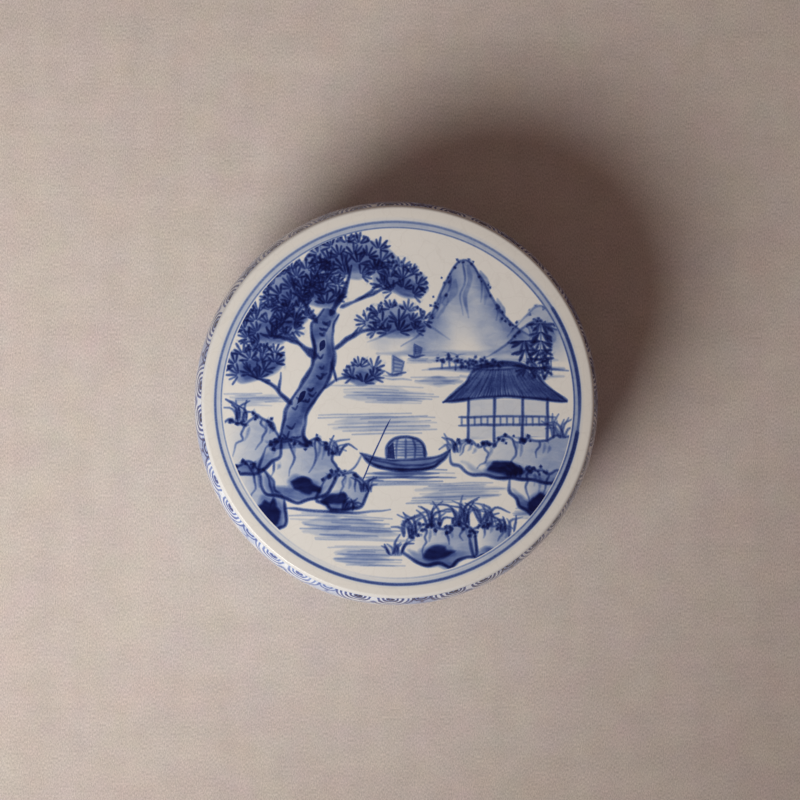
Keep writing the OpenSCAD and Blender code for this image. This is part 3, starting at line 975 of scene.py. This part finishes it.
def border_pair(sheet, x, half, size):
    """Two lobes held by two outer lines, with a washed cusp between them."""
    for side in (-1, 1):
        cloud_lobe(sheet, x + side * half + rng.normal(0, 0.08), side, size * rng.uniform(0.93, 1.06))
        for out, ink, width in ((0.0, 3.1, 0.36), (0.85, 2.7, 0.3)):
            path = hanging(x, side, size, (0.0, -(4.0 + 1.2 * out)), (0.75, -(5.6 + out)),
                           (half * 0.6, -(7.0 + out)), (half * 1.15, -(7.3 + out)),
                           (half + 2.0 + 0.5 * out, -(6.2 + 0.7 * out)),
                           (half + 3.0 + 0.8 * out, -(3.9 + 0.4 * out)))
            path += [(x + side * (half + 3.4 + out), -1.6), (x + side * (half + 3.5 + out), 0.6)]
            sheet.line(path, width * np.array([1, 1.5, 2, 1.6, 1, 0.9, 0.9]), ink, (0.08, 0), 0.6, 0.24, 0.05)
    cusp = hanging(x, 1, size, (0, -3.2), (0, -4.6), (0, -6.4))
    sheet.wash(cusp, (1.0, 1.5, 1.0), 1.1, (0.2, 0.3), 0.4, 0.6)


def border_gap(sheet, mid, gap, size):
    """The washed gap between two pairs, with two small bowls, a drop, and lines down its sides."""
    middle = hanging(mid, 1, size, (0, 0.6), (0, -2.2), (0, -4.6), (0, -7.4))
    sheet.wash(middle, (2 * gap, 2 * gap + 0.4, 2 * gap + 2.0, 2 * gap + 4.2), 0.7, (0, 0.3), 0.4, 0.7)
    hung(sheet, mid, 0.5 * gap, 1.5 * size, 3.8, 0.42)
    hung(sheet, mid, 0.95 * gap, 3.0 * size, 3.2, 0.34)
    sheet.line(hanging(mid, 1, size, (0, -3.2), (0.1, -4.2), (0, -5.6)), (0.6, 0.8, 0.4), 2.8, (0.1, 0.4))
    for side in (-1, 1):
        flank = hanging(mid, side, size, (gap * 0.93, 0.6), (gap + 0.15, -2.2), (gap + 0.9, -4.8),
                        (gap + 2.2, -7.4), (gap + 4.0, -9.3))
        sheet.line(flank, 0.34, (3.2, 3.0, 2.4, 1.8), (0, 0.3), 0.6, 0.24)
        curl = hanging(mid, side, size, (0, -5.6), (0.5, -6.8), (1.3, -8.4), (2.5, -9.2))
        sheet.line(curl, 0.28, 2.4, (0.1, 0.35), edge=0.24)


def border_unit(sheet, x, pitch, high):
    """A pair of lobes and the gap beside it, with its ink made paler or darker by where it lies round the
    wall.
    """
    first = len(sheet.strokes)
    size = high / UNIT_HIGH * rng.uniform(0.96, 1.05)
    half = LOBE_OUT + rng.normal(0, 0.06)
    border_pair(sheet, x, half, size)
    border_gap(sheet, x + pitch / 2, pitch / 2 - half - PAIR_OUT, size)
    turn = x / WALL_R
    load = 1.16 - 0.85 * math.exp(-((turn - PALE_AT) / 0.5) ** 2)
    load = load + 0.4 * math.exp(-((turn - DARK_AT) / 0.6) ** 2) + 0.1 * math.sin(2 * turn + 1)
    for k in range(first, len(sheet.strokes)):
        path, wide, ink, edge, layer = sheet.strokes[k]
        sheet.strokes[k] = path, wide, load * ink, edge, layer


# Sheets laid over the turned pieces

def used_only(where, tris):
    kept, small = np.unique(tris, return_inverse=True)
    return where[kept], small.reshape(-1, 3)


def lay_on_top(shell, outline, sheet, place):
    """Lays the picture's sheet on the lid's top, out to TOP_SHEET_R."""
    rim = polar(TOP_SHEET_R, circle(AROUND))
    grid = hex_grid((-TOP_SHEET_R, -TOP_SHEET_R), (TOP_SHEET_R, TOP_SHEET_R))
    grid = grid[np.hypot(*grid.T) < TOP_SHEET_R - 0.3]
    at, tris = used_only(*sheet.cut(rim, grid, lambda mid: np.hypot(*mid.T) < TOP_SHEET_R - HAIR))
    r, theta = np.hypot(*at.T), np.arctan2(at[:, 1], at[:, 0])
    top = outline.p[:, 0].searchsorted(TOP_SHEET_R + 0.2)
    s = np.interp(r, outline.p[:top + 1, 0], outline.s[:top + 1])
    point, normal = outline.at(s)
    # Painted shade: from just outside the ring out to the rim the glaze is painted darker.
    shell.add(turned(point, theta), turned(normal, theta), tris, place(theta, s),
              thin=np.clip((r - RING_R) / 0.6, 0, 1), **sheet.dense(at))


def lay_round(shell, outline, sheet, s_edge, high, sign, strips):
    """Wraps a border's sheet round a wall, hanging from the length s_edge of the outline for
    sign 1, or standing on it for sign -1. Each strip of the bake map takes its share of the way round."""
    x = np.linspace(0, WALL_LONG, AROUND + 1)
    y = np.linspace(0, -high, int(high / PITCH) + 1)
    rim = np.vstack([
        np.stack([x, np.full(len(x), -high)], 1)[:-1],
        np.stack([np.full(len(y), WALL_LONG), y[::-1]], 1)[:-1],
        np.stack([x[::-1], np.zeros(len(x))], 1)[:-1],
        np.stack([np.zeros(len(y)), y], 1)[:-1],
    ])
    grid = hex_grid((PITCH / 2, -high + PITCH / 2), (WALL_LONG - 0.1, -0.1))

    def inside(mid):
        return (mid[:, 0] > 0) & (mid[:, 0] < WALL_LONG) & (mid[:, 1] < 0) & (mid[:, 1] > -high)

    where, tris = sheet.cut(rim, grid, inside)
    sector = (where[tris].mean(1)[:, 0] / WALL_LONG * len(strips)).astype(int)
    for k, strip in enumerate(strips):
        at, part = used_only(where, tris[sector == k])
        theta, s = sign * at[:, 0] / WALL_R, s_edge - sign * at[:, 1]
        point, normal = outline.at(s)
        # The walls are marked for a painted bluish reflection in their colour and a weaker gloss.
        shell.add(turned(point, theta), turned(normal, theta), part,
                  strip_place(at[:, 0] - k * WALL_LONG / len(strips), -at[:, 1], *strip),
                  cool=1.0, **sheet.dense(at))


def strip_place(x, y, u, v, scale, upright=False):
    """Bake map of one stretch of a wall, x round the wall and y down from the border's edge."""
    return (u, v) + np.stack((y, x) if upright else (x, y), 1) * scale


def between(low, high, soft=0.15):
    """1 between two lengths along an outline and 0 beyond them, with a short slope at each end."""
    return lambda s: np.clip((s - low) / soft, 0, 1) * np.clip((high - s) / soft, 0, 1)


# Places in the bake maps. A disc has its middle and its radius, and the lid's top and each strip have
# a middle or a corner and the scale for 1 mm.
LID_TOP = (0.376, 0.376, 0.0097)
LID_INSIDE = (0.876, 0.876, 0.118)
LID_STRIPS = ((0.006, 0.757, 0.0082), (0.006, 0.879, 0.0082), (0.757, 0.006, 0.0082, True))
BOX_INSIDE = (0.25, 0.75, 0.242)
BOX_UNDER = (0.75, 0.75, 0.242)
BOX_STRIPS = tuple((0.006, 0.006 + 0.166 * k, 0.0104) for k in range(3))
PASTE_ALL = (0.5, 0.5, 0.49)


def make_lid(material):
    outline = Outline("lid")
    shell = Shell()
    top = disc_place(*LID_TOP, 0)
    s_sheet = np.interp(TOP_SHEET_R, outline.p[:40, 0], outline.s[:40])
    s_edge = outline.s_where_lean(LID_BORDER_LEAN, s_sheet) + 0.25
    s_seam = outline.s_of_widest()
    s_end = outline.s[-1]
    lay_on_top(shell, outline, paint_picture(), top)
    # The rim's rounding keeps the band's painted shade, and gets more painted shade over its last 1.3 mm
    # towards the wall.
    lathe(shell, outline, s_sheet, s_edge, top, thin=np.ones_like,
          edge=lambda s: np.clip((s - s_edge + 1.3) / 0.7, 0, 1))
    lay_round(shell, outline, border(LID_BORDER_HIGH), s_edge, s_seam - s_edge, 1, LID_STRIPS)
    u, v, reach = LID_INSIDE
    lathe(shell, outline, s_seam, s_end, disc_place(u, v, reach / (s_end - s_seam), s_end),
          bare=between(s_seam + 0.35, s_seam + 3.6))
    return shell.build("lid_porcelain", material)


def make_box(material):
    outline = Outline("box_base")
    shell = Shell()
    s_seam = outline.s_of_widest()
    s_edge = outline.s_where_lean(BOX_BORDER_LEAN, s_seam)
    s_end = outline.s[-1]
    rim_top = outline.s[np.argmax(outline.p[:, 1])]
    foot = outline.s[outline.p[:, 1] < HAIR]
    u, v, reach = BOX_INSIDE
    lathe(shell, outline, 0, s_seam, disc_place(u, v, reach / s_seam, 0),
          bare=between(rim_top - 1.2, s_seam - 0.3), stain=between(s_seam - 26, rim_top - 2.5, 9))
    band = border(BOX_BORDER_HIGH)
    base_line = [(-2, -0.32), (WALL_LONG / 3, -0.28), (WALL_LONG * 0.7, -0.35), (WALL_LONG + 2, -0.32)]
    band.line(base_line, 0.42, 3.3, (0, 0), 1.5, 0.24)
    lay_round(shell, outline, band, s_edge, s_edge - s_seam, -1, BOX_STRIPS)
    u, v, reach = BOX_UNDER
    lathe(shell, outline, s_edge, s_end, disc_place(u, v, reach / (s_end - s_edge), s_end),
          bare=between(foot.min() - 0.7, foot.max() + 0.7))
    return shell.build("box_porcelain", material)


# Seal paste

PASTE_AROUND = 480  # steps round the mound
FOLD_DEEP = 1.5  # depths in millimetres
DRAG_DEEP = 0.12
DENT_DEEP = 0.36


def swell(a, b, seed):
    """A smooth wandering value of two coordinates."""
    out = 0.0
    for k in range(1, 5):
        out = out + np.sin(a * k * 0.9 + seed * k + 1.7 * np.sin(b * k * 0.7 + seed)) / k
    return out / 2


def fold_depth(x, y, r, theta):
    """How deep the slow spiral of folds is pressed in, in millimetres."""
    turn = theta * 2 - 0.30 * r + 0.9 * swell(x / 9, y / 9, 2.0)
    fold = np.abs(np.sin(turn / 2)) ** 0.55
    drag = 0.5 + 0.5 * np.sin(7 * turn + 3.5 * swell(x / 4.5, y / 4.5, 5.0))
    drag = drag * np.clip(0.45 + 0.6 * swell(x / 7, y / 7, 3.0), 0.1, 1)
    dents = 0.5 + 0.5 * swell(x / 5, y / 5, 8.0)
    depth = FOLD_DEEP * (1 - fold) + DRAG_DEEP * drag + DENT_DEEP * dents + 0.02
    return depth * np.clip(0.35 + r / r.max(), 0, 1)


def paste_faces(rows, steps):
    """Four-sided faces between the rows, and three-sided ones round the two ends' middles."""
    k = np.arange(steps)
    after = (k + 1) % steps
    quads = np.vstack([
        np.stack([i * steps + k, (i + 1) * steps + k, (i + 1) * steps + after, i * steps + after], 1)
        for i in range(rows - 1)])
    top, last = rows * steps, (rows - 1) * steps
    caps = [(top, int(a), int(b)) for a, b in zip(k, after)]
    caps += [(top + 1, int(last + b), int(last + a)) for a, b in zip(k, after)]
    return quads.tolist() + caps


def make_paste(material):
    """The mound, stirred into a slow spiral: every fold is pressed into the outline, never out of it."""
    outline = Outline("seal_paste")
    s_end = outline.s[-1]
    s_side = outline.s_of_widest()
    rows = np.concatenate([np.linspace(0.02, s_side, 130), np.linspace(s_side, s_end - 0.02, 40)[1:]])
    point, normal = outline.at(rows)
    r, theta = np.meshgrid(point[:, 0], circle(PASTE_AROUND), indexing="ij")
    depth = fold_depth(r * np.cos(theta), r * np.sin(theta), r, theta)
    depth = depth * np.clip((s_side + 1.5 - rows) / 3, 0, 1)[:, None]
    pressed = point[:, None, :] - normal[:, None, :] * depth[:, :, None]
    co = turned(pressed.reshape(-1, 2), theta.ravel())
    middles = [[0, 0, co[:PASTE_AROUND, 2].mean()], [0, 0, co[-PASTE_AROUND:, 2].mean()]]
    faces = paste_faces(len(rows), PASTE_AROUND)
    mesh = smooth_mesh("paste_mound", np.vstack([co, middles]), faces, material)
    u, v, reach = PASTE_ALL
    s = np.concatenate([np.repeat(rows, PASTE_AROUND), [0, s_end]])
    uv = disc_place(u, v, reach / s_end, 0)(np.concatenate([theta.ravel(), [0, 0]]), s)
    flat = np.empty(len(mesh.loops), int)
    mesh.loops.foreach_get("vertex_index", flat)
    set_bake_map(mesh, uv[flat])
    set_value(mesh, "fold", np.concatenate([depth.ravel(), [0.5, 0]]))
    return add_object("paste_mound", mesh)


# Materials. A colour is linear red, green, blue and 1.

COBALT_PACE = (1.0, 0.735, 0.265)  # how fast red, green and blue fall off under cobalt
COBALT_RISE = (0.0, 0.022, 0.034)  # how much faster they do where it lies thick
DENSEST = 6.8  # how dense cobalt can get
GLAZE = (0.776, 0.786, 0.761, 1)
GLAZE_CLOUD = (0.751, 0.768, 0.747, 1)
# Painted shade: the plain band from the ring out to the rim is painted a little darker and warmer than the
# middle of the top.
GLAZE_BAND_PAINTED_SHADE = (0.730, 0.735, 0.702, 1)
# Painted shade: the rim's rounding is painted darker and a little bluish, which dims its highlight.
GLAZE_RIM_PAINTED_SHADE = (0.660, 0.682, 0.690, 1)
# Painted reflection: the walls' glaze is tinted bluish white, as if it reflected a cool light.
GLAZE_WALL_PAINTED_REFLECTION = (0.780, 0.855, 0.945, 1)
CRACK = (0.25, 0.21, 0.18, 1)
PIN = (0.16, 0.10, 0.06, 1)
CLAY = (0.60, 0.50, 0.40, 1)
CLAY_PALE = (0.72, 0.64, 0.55, 1)
CLAY_FLASH = (0.50, 0.30, 0.17, 1)
PASTE_STAIN = (0.42, 0.045, 0.025, 1)
PASTE = (0.46, 0.028, 0.014, 1)
PASTE_LIGHT = (0.62, 0.062, 0.024, 1)
# Painted shade: the darker red that the paste's folds are painted with.
PASTE_FOLD_PAINTED_SHADE = (0.27, 0.010, 0.006, 1)
BOARD = (0.598, 0.542, 0.502, 1)
BOARD_PALE = (0.618, 0.562, 0.522, 1)


class Tree:
    """A short way to write the nodes of a material."""

    def __init__(self, name):
        self.material = bpy.data.materials.new(name)
        self.material.use_nodes = True
        self.nodes = self.material.node_tree.nodes
        self.links = self.material.node_tree.links
        self.shader = self.nodes["Principled BSDF"]
        at = self.node("TexCoord", "Object")
        self.mm = self.vector("MULTIPLY", at, (1000, 1000, 1000))

    def set(self, socket, value):
        if isinstance(value, bpy.types.NodeSocket):
            self.links.new(value, socket)
        else:
            socket.default_value = value

    def node(self, kind, out=0, inputs=None, **settings):
        made = self.nodes.new("ShaderNode" + kind)
        for key, value in settings.items():
            setattr(made, key, value)
        for key, value in (inputs or {}).items():
            self.set(made.inputs[key], value)
        return made.outputs[out]

    def math(self, operation, *values):
        return self.node("Math", 0, dict(enumerate(values)), operation=operation)

    def vector(self, operation, *values):
        return self.node("VectorMath", 0, dict(enumerate(values)), operation=operation)

    def stretched(self, *scale):
        """Millimetres scaled along X, Y and Z."""
        return self.vector("MULTIPLY", self.mm, scale)

    def value(self, name):
        return self.node("Attribute", "Fac", attribute_name=name)

    def noise(self, scale, detail=2.0, rough=0.5, at=None, twist=0.0):
        return self.node("TexNoise", "Fac", {"Vector": at or self.mm, "Scale": scale, "Detail": detail,
                                             "Roughness": rough, "Distortion": twist})

    def spread(self, value, low, high, to_low, to_high):
        """Maps low..high to to_low..to_high, held at both ends."""
        return self.node("MapRange", 0, {0: value, 1: low, 2: high, 3: to_low, 4: to_high})

    def mix(self, share, a, b):
        made = self.nodes.new("ShaderNodeMix")
        made.data_type = "RGBA"
        for key, value in ((0, share), (6, a), (7, b)):
            self.set(made.inputs[key], value)
        return made.outputs[2]

    def bump(self, height, distance, under=None):
        """A relief, distance in millimetres deep, on top of another."""
        inputs = {"Height": height, "Distance": distance * MM, "Strength": 1.0}
        if under:
            inputs["Normal"] = under
        return self.node("Bump", 0, inputs)

    def finish(self, inputs):
        """Sets the shader's inputs and returns the material."""
        for key, value in inputs.items():
            self.set(self.shader.inputs[key], value)
        return self.material


def cobalt_over(tree, white, dense):
    """White glaze dimmed by cobalt: each channel falls off at its own pace with how dense it lies."""
    split = tree.nodes.new("ShaderNodeSeparateColor")
    tree.set(split.inputs[0], white)
    squared = tree.math("MULTIPLY", dense, dense)
    through = []
    for channel, pace, rise in zip(split.outputs, COBALT_PACE, COBALT_RISE):
        depth = tree.math("MULTIPLY_ADD", squared, rise, tree.math("MULTIPLY", dense, pace))
        seen = tree.math("POWER", math.exp(-1), depth)
        through.append(tree.math("MULTIPLY", channel, seen))
    return tree.node("CombineColor", 0, dict(enumerate(through)))


def densities(tree):
    """How dense the cobalt lies, strokes and washes together, always below DENSEST."""
    line, wash = tree.value("line"), tree.value("wash")
    grain = tree.noise(3.4, 3.0, 0.6)
    line = tree.math("MULTIPLY", line, tree.spread(grain, 0.3, 0.7, 0.80, 1.22))
    streaks = tree.noise(0.5, 4.0, 0.6, tree.stretched(0.6, 1.2, 0.8), 0.4)
    wash = tree.math("MULTIPLY", wash, tree.spread(streaks, 0.3, 0.7, 0.76, 1.24))
    dense = tree.math("ADD", line, wash)
    share = tree.math("POWER", tree.math("DIVIDE", dense, DENSEST), 4.0)
    return tree.math("DIVIDE", dense, tree.math("POWER", tree.math("ADD", 1.0, share), 0.25))


def white_glaze(tree, edge, cool):
    """The glaze without cobalt: cloudy tints, faint crackle and a few pin specks, with painted shade on the
    band beyond the ring and over the rim's rounding, and a painted bluish reflection on the walls.
    """
    cloud = tree.noise(0.06, 3.0)
    white = tree.mix(tree.spread(cloud, 0.35, 0.65, 0, 1), GLAZE, GLAZE_CLOUD)
    # Painted shade: the band from the ring out to the rim is painted darker.
    white = tree.mix(tree.value("thin"), white, GLAZE_BAND_PAINTED_SHADE)
    # Painted shade: the glaze is painted darker over the rim's rounding.
    white = tree.mix(edge, white, GLAZE_RIM_PAINTED_SHADE)
    # Painted reflection: on the walls the glaze turns bluish white, as if it reflected a cool light.
    white = tree.mix(cool, white, GLAZE_WALL_PAINTED_REFLECTION)
    drift = tree.node("TexNoise", "Color", {"Vector": tree.mm, "Scale": 0.35})
    warped = tree.vector("ADD", tree.mm, tree.vector("MULTIPLY", drift, (2.2, 2.2, 2.2)))
    for scale, wide, deep in ((0.24, 0.035, 0.065), (0.62, 0.05, 0.035)):
        inputs = {"Vector": warped, "Scale": scale}
        cell = tree.node("TexVoronoi", "Distance", inputs, feature="DISTANCE_TO_EDGE")
        white = tree.mix(tree.spread(cell, 0.0, wide, deep, 0), white, CRACK)
    speck = tree.node("TexVoronoi", "Distance", {"Vector": tree.mm, "Scale": 0.19})
    chosen = tree.spread(tree.noise(0.31, 0.0), 0.50, 0.53, 0, 1)
    pin = tree.math("MULTIPLY", tree.spread(speck, 0.010, 0.026, 1, 0), chosen)
    return tree.mix(tree.math("MULTIPLY", pin, 0.55), white, PIN)


def porcelain(name):
    """Glazed clay with cobalt under the glaze, bare where the value bare says so."""
    tree = Tree(name)
    edge, cool = tree.value("edge"), tree.value("cool")
    glaze = cobalt_over(tree, white_glaze(tree, edge, cool), densities(tree))

    clay = tree.mix(tree.noise(1.3, 4.0), CLAY, CLAY_PALE)
    ragged = tree.math("ADD", tree.value("bare"), tree.spread(tree.noise(0.8, 3.0), 0.3, 0.7, -0.12, 0.12))
    body = tree.spread(ragged, 0.45, 0.55, 0, 1)
    flash = tree.spread(tree.math("ABSOLUTE", tree.math("SUBTRACT", ragged, 0.45)), 0.0, 0.3, 0.55, 0)
    colour = tree.mix(body, tree.mix(flash, glaze, CLAY_FLASH), clay)
    blotches = tree.spread(tree.noise(0.35, 5.0, 0.65), 0.48, 0.66, 0, 1)
    smear = tree.math("MULTIPLY", tree.value("stain"), blotches)
    colour = tree.mix(tree.math("MULTIPLY", smear, 0.75), colour, PASTE_STAIN)

    gloss = tree.spread(tree.noise(0.22, 3.0), 0.3, 0.7, 0.075, 0.115)
    gloss = tree.math("MULTIPLY_ADD", edge, 0.32, gloss)
    roll = tree.bump(tree.noise(0.16, 2.0), 0.05)
    peel = tree.bump(tree.noise(1.1, 2.0), 0.004, roll)
    biscuit = tree.bump(tree.math("MULTIPLY", tree.noise(5.0, 4.0), body), 0.05, peel)
    return tree.finish({
        "Base Color": colour,
        "Roughness": tree.node("Mix", 0, {0: body, 2: gloss, 3: 0.72}),
        "IOR": 1.5,
        "Specular IOR Level": tree.spread(cool, 0, 1, 0.30, 0.10),
        "Normal": biscuit,
    })


def seal_red(name):
    """Stiff red paste with silk fibres in it, with painted shade: a deeper red down in its folds."""
    tree = Tree(name)
    fibre = tree.noise(1.6, 5.0, 0.62, tree.stretched(1.0, 3.2, 1.0), 1.2)
    crumbs = tree.noise(6.5, 3.0, 0.6)
    tone = tree.mix(tree.spread(fibre, 0.3, 0.7, 0, 1), PASTE, PASTE_LIGHT)
    return tree.finish({
        # Painted shade: the deeper the fold, the darker the red.
        "Base Color": tree.mix(tree.spread(tree.value("fold"), 0.5, 1.5, 0, 0.7), tone, PASTE_FOLD_PAINTED_SHADE),
        "Roughness": tree.spread(crumbs, 0.3, 0.7, 0.30, 0.52),
        "Subsurface Weight": 0.12,
        "Subsurface Radius": (0.002, 0.0004, 0.0002),
        "Normal": tree.bump(crumbs, 0.05, tree.bump(fibre, 0.16)),
    })


def table_top(name):
    """A matt board with a fine grain, cloudy tints and faint rubbed lines both ways."""
    tree = Tree(name)
    cloud = tree.noise(0.012, 3.0)
    grain = tree.noise(2.6, 2.0, 0.6, tree.stretched(1.7, 0.8, 1.0))
    mottle = tree.noise(0.16, 5.0, 0.62)
    rubbed = tree.math("ADD", tree.noise(0.22, 3.0, 0.6, tree.stretched(0.05, 1.0, 1.0)),
                       tree.noise(0.22, 3.0, 0.6, tree.stretched(1.0, 0.05, 1.0)))
    tone = tree.mix(tree.spread(cloud, 0.3, 0.7, 0, 1), BOARD, BOARD_PALE)
    tint = tree.node("TexNoise", "Color", {"Vector": tree.mm, "Scale": 0.11, "Detail": 4.0, "Roughness": 0.6})
    tone = tree.mix(0.08, tone, tint)
    level = tree.math("ADD", tree.spread(grain, 0.25, 0.75, 0.72, 1.28),
                      tree.spread(mottle, 0.3, 0.7, -0.045, 0.045))
    level = tree.math("ADD", level, tree.spread(rubbed, 0.7, 1.3, -0.03, 0.03))
    grey = tree.node("CombineXYZ", 0, {0: level, 1: level, 2: level})
    return tree.finish({
        "Base Color": tree.vector("MULTIPLY", tone, grey),
        "Roughness": tree.spread(grain, 0.3, 0.7, 0.75, 0.9),
        "Normal": tree.bump(grain, 0.03),
    })


# Floor, light and camera

def toward(azimuth, elevation, distance):
    """A vector, in metres, at these angles from +X round +Z and above the horizon."""
    a, e = math.radians(azimuth), math.radians(elevation)
    return distance * Vector((math.cos(a) * math.cos(e), math.sin(a) * math.cos(e), math.sin(e)))


def make_floor():
    mesh = bpy.data.meshes.new("table")
    mesh.from_pydata([(-2, -2, 0), (2, -2, 0), (2, 2, 0), (-2, 2, 0)], [], [(0, 1, 2, 3)])
    mesh.materials.append(table_top("table"))
    add_object("table", mesh)


def make_light():
    """One round soft box. It is turned towards the upper left, so the table darkens to the right."""
    at = Vector((0, 0, 0.02)) + toward(KEY_AZIMUTH, KEY_ELEVATION, KEY_AWAY)
    light = bpy.data.lights.new("key", "AREA")
    light.shape = "DISK"
    light.size = KEY_SIZE
    light.energy = KEY_WATTS
    light.color = KEY_COLOUR
    light.spread = math.radians(KEY_SPREAD)
    lamp = add_object("key", light)
    lamp.location = at
    lamp.rotation_mode = "QUATERNION"
    lamp.rotation_quaternion = (at - Vector(KEY_AIM) * MM).to_track_quat("Z", "Y")
    world = bpy.data.worlds.new("room")
    world.use_nodes = True
    sky = world.node_tree.nodes["Background"]
    sky.inputs["Color"].default_value = ROOM_COLOUR
    sky.inputs["Strength"].default_value = ROOM_LIGHT
    bpy.context.scene.world = world


def make_camera():
    """Near overhead, tipped a little towards the light's side, with +Y up the picture."""
    aim = Vector(CAMERA_AIM) * MM
    eye = aim + toward(CAMERA_AZIMUTH, 90 - CAMERA_TILT, CAMERA_AWAY)
    back = (eye - aim).normalized()
    right = Vector((0, 1, 0)).cross(back).normalized()
    data = bpy.data.cameras.new("camera")
    data.sensor_width = 36
    data.lens = CAMERA_LENS
    camera = add_object("camera", data)
    camera.rotation_mode = "QUATERNION"
    camera.location = eye
    camera.rotation_quaternion = Matrix((right, back.cross(right), back)).transposed().to_quaternion()
    bpy.context.scene.camera = camera


lid = make_lid(porcelain("lid_porcelain"))
box = make_box(porcelain("box_porcelain"))
paste = make_paste(seal_red("seal_paste"))
for piece, body, node, slot in (
        (lid, "lid", "lid", "lid_porcelain"),
        (box, "box", "box_base", "box_porcelain"),
        (paste, "box", "seal_paste", "seal_paste")):
    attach(piece, body)
    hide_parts(node)
make_floor()
make_light()
make_camera()
bpy.context.scene.view_settings.view_transform = "Standard"

bpy.context.view_layer.update()
